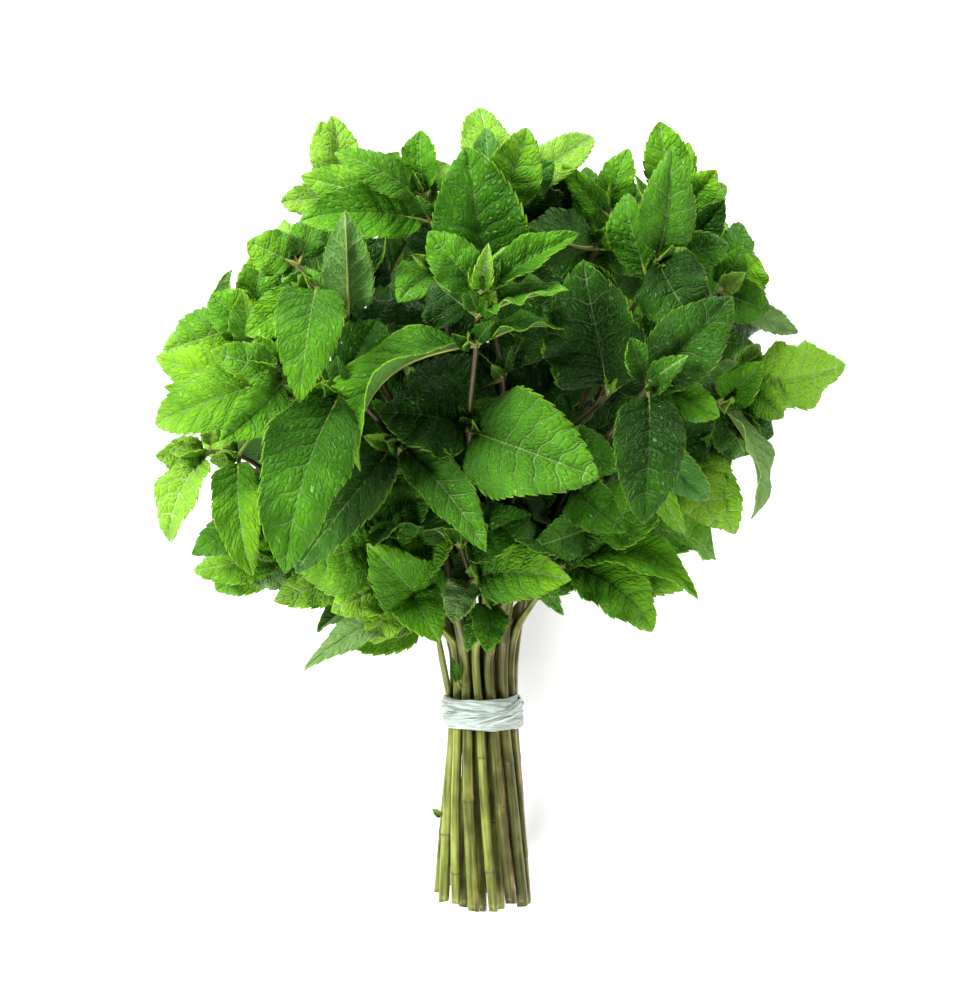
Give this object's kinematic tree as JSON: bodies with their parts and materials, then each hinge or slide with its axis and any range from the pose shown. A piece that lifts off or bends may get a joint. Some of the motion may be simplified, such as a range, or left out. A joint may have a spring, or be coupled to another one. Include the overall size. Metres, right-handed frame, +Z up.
{
  "type": "tied bunch of spearmint",
  "caption": "Bunch of leafy spearmint stems, held low down by wound plastic twine and lying on its side, with a broad dense head of toothed, quilted leaves.",
  "frame": {"origin": "under the middle of the whole bunch, on the surface that it lies on", "axes": "+Y from the cut ends toward the head, +X across the bunch, +Z up from the surface"},
  "size_m": [0.2074, 0.2434, 0.1255],
  "materials": {
    "mint_leaf": "satin",
    "mint_stem": "satin",
    "twine": "satin"
  },
  "bodies": {
    "root": {"sprig_01": "mint_leaf", "sprig_02": "mint_leaf", "sprig_03": "mint_leaf", "sprig_04": "mint_leaf", "sprig_05": "mint_leaf", "sprig_06": "mint_leaf", "sprig_07": "mint_leaf", "sprig_08": "mint_leaf", "sprig_09": "mint_leaf", "sprig_10": "mint_leaf", "sprig_11": "mint_leaf", "sprig_12": "mint_leaf", "sprig_13": "mint_leaf", "sprig_14": "mint_leaf", "sprig_15": "mint_leaf", "sprig_16": "mint_leaf", "sprig_17": "mint_leaf", "sprig_18": "mint_leaf", "sprig_19": "mint_leaf", "sprig_20": "mint_leaf", "sprig_21": "mint_leaf", "sprig_22": "mint_leaf", "tie": "twine"}
  },
  "joints": []
}
